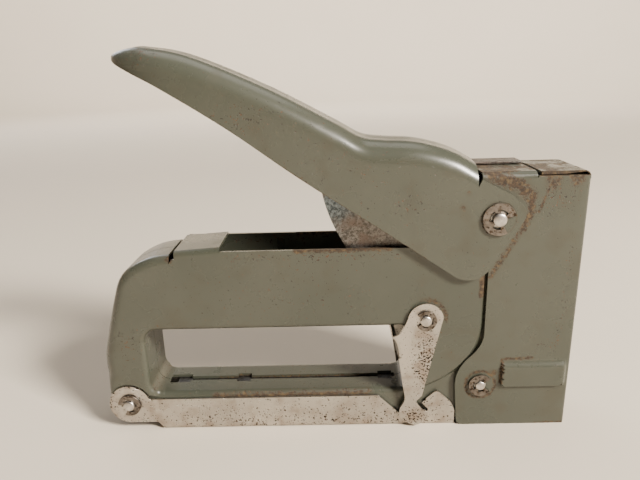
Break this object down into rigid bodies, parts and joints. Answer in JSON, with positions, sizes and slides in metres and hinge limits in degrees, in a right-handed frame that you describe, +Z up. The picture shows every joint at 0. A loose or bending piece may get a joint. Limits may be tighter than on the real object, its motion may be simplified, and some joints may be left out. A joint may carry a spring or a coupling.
{
  "type": "staple gun",
  "caption": "Hand-squeezed staple gun of pressed sheet steel: long top lever, finger loop, side latch and a swing-down staple magazine.",
  "frame": {"origin": "on the surface the gun stands on, midway along its length and width", "axes": "+X along the magazine to the nose, +Y to the left side, +Z up"},
  "size_m": [0.189, 0.0352, 0.1532],
  "materials": {
    "green_enamel": "glossy grey-green stoved enamel, chipped and rust-specked along its edges",
    "pitted_chrome": "bright plating with brown rust pits",
    "dull_zinc": "dull zinc plating, dark pitting",
    "plain_steel": "oiled sheet steel, slightly tarnished",
    "pin_steel": "turned steel, bright on the rounded ends",
    "dark_clip_steel": "phosphated spring steel with brown rust",
    "spring_steel": "oil-tempered spring wire"
  },
  "bodies": {
    "root": {"right_body_shell": "green_enamel", "left_body_shell": "green_enamel", "nose_shell": "green_enamel", "nose_top_plate": "dull_zinc", "front_guide_plate": "plain_steel", "spring_seat": "plain_steel", "spring_guide_rod": "plain_steel", "magazine_channel": "plain_steel", "latch_pin_spacer": "plain_steel", "nose_pin_spacer": "plain_steel", "hinge_pin_spacer": "plain_steel", "lever_pivot_pin": "pin_steel", "latch_pin": "pin_steel", "nose_pin": "pin_steel", "track_hinge_pin": "pin_steel", "lever_clip_right": "dark_clip_steel", "lever_clip_left": "dark_clip_steel", "latch_clip_right": "dark_clip_steel", "latch_clip_left": "dark_clip_steel", "nose_clip_right": "dark_clip_steel", "nose_clip_left": "dark_clip_steel", "hinge_clip_right": "dark_clip_steel", "hinge_clip_left": "dark_clip_steel", "power_spring": "spring_steel"},
    "lever": {"handle_shell": "green_enamel", "lever_insert": "dull_zinc", "lever_bushing": "plain_steel"},
    "plunger": {"plunger": "plain_steel", "driver_blade": "plain_steel", "driver_rivet": "plain_steel"},
    "latch": {"latch": "pitted_chrome"},
    "track": {"magazine_track": "pitted_chrome", "staple_rail": "plain_steel", "pusher_guide_rod": "plain_steel", "pusher_spring": "spring_steel"},
    "pusher": {"staple_pusher": "plain_steel"}
  },
  "joints": [
    {"name": "lever_hinge", "type": "hinge", "parent": "root", "child": "lever", "pos_m": [0.0614, 0, 0.089], "axis": [0, -1, 0], "range_deg": [0, 25], "stiffness_Nm_per_rad": 6, "springref_deg": -17.19},
    {"name": "plunger_slide", "type": "slide", "parent": "root", "child": "plunger", "axis": [0, 0, 1], "range_m": [0, 0.0106], "deforming": ["power_spring"]},
    {"name": "latch_swing", "type": "hinge", "parent": "root", "child": "latch", "pos_m": [0.0359, 0, 0.0484], "axis": [0, 1, 0], "range_deg": [0, 17]},
    {"name": "track_swing", "type": "hinge", "parent": "root", "child": "track", "pos_m": [-0.0858, 0, 0.012], "axis": [0, 1, 0], "range_deg": [0, 9.4]},
    {"name": "pusher_slide", "type": "slide", "parent": "track", "child": "pusher", "axis": [-1, 0, 0], "range_m": [0, 0.08], "stiffness_N_per_m": 60, "springref_m": -0.05, "deforming": ["pusher_spring"]}
  ],
  "couplings": [
    {"joint": "plunger_slide", "follows": "lever_hinge", "m_per_rad": 0.024},
    {"joint": "track_swing", "follows": "latch_swing", "ratio": 0.55}
  ]
}
